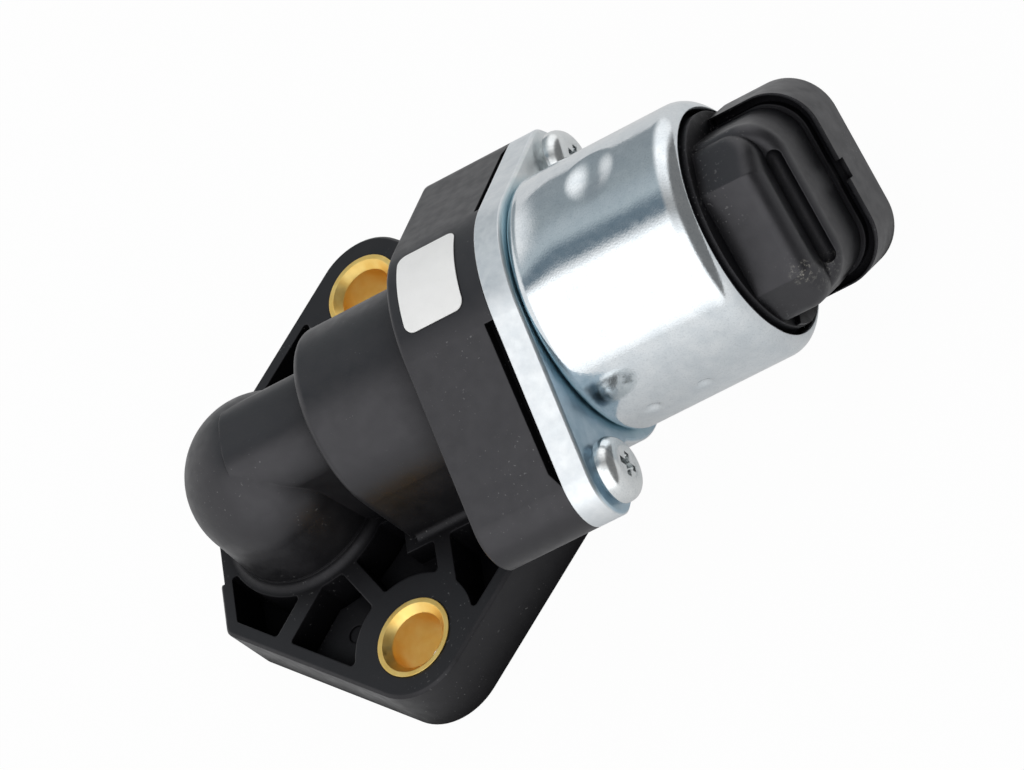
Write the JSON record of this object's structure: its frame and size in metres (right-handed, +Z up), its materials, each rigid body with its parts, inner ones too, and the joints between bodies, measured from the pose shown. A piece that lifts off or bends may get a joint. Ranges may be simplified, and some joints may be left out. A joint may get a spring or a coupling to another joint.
{
  "type": "idle air control valve",
  "caption": "Solenoid idle air control valve: black housing with an elbow duct and bolt-on mounting plate, zinc-plated solenoid can and a side-facing socket.",
  "frame": {"origin": "midway between the two mounting bolt holes, on the mounting face", "axes": "+X along the solenoid axis towards the socket, +Y along the line of the bolt holes, +Z up out of the mounting face"},
  "size_m": [0.0952, 0.0652, 0.0336],
  "materials": {
    "housing_nylon": "satin black glass-filled nylon",
    "cap_nylon": "smooth satin black nylon",
    "bush_brass": "machined",
    "seat_brass": "machined",
    "bearing_bronze": "sintered",
    "winding_copper": "enamelled copper wire",
    "contact_tin": "tinned brass",
    "zinc_plate": "bright zinc plate",
    "zinc_can": "bright zinc plate",
    "zinc_screw": "bright zinc plate",
    "core_steel": "turned soft iron",
    "shaft_steel": "ground stainless",
    "spring_steel": "drawn wire",
    "bobbin_plastic": "natural moulded",
    "poppet_plastic": "moulded",
    "seal_rubber": "moulded",
    "label_paper": "bare white sticker"
  },
  "bodies": {
    "fixed_body": {"valve_housing": "housing_nylon", "mount_bush_near": "bush_brass", "mount_bush_far": "bush_brass", "port_seal": "seal_rubber", "seat_ring": "seat_brass", "flange_seal": "seal_rubber", "flange_plate": "zinc_plate", "flange_screws": "zinc_screw", "solenoid_can": "zinc_can", "coil_bobbin": "bobbin_plastic", "coil_winding": "winding_copper", "guide_tube": "seat_brass", "pole_core": "core_steel", "gap_shim": "seat_brass", "yoke_washer": "core_steel", "front_bearing": "bearing_bronze", "spring_cup": "core_steel", "return_spring": "spring_steel", "connector_cap": "cap_nylon", "terminals": "contact_tin", "id_label": "label_paper"},
    "sliding_valve": {"armature": "core_steel", "valve_shaft": "shaft_steel", "poppet": "poppet_plastic", "poppet_seal": "seal_rubber", "poppet_clip": "shaft_steel"}
  },
  "joints": [
    {"name": "valve_lift", "type": "slide", "parent": "fixed_body", "child": "sliding_valve", "axis": [1, 0, 0], "range_m": [0, 0.004], "stiffness_N_per_m": 600, "springref_m": -0.004, "deforming": ["return_spring"]}
  ]
}
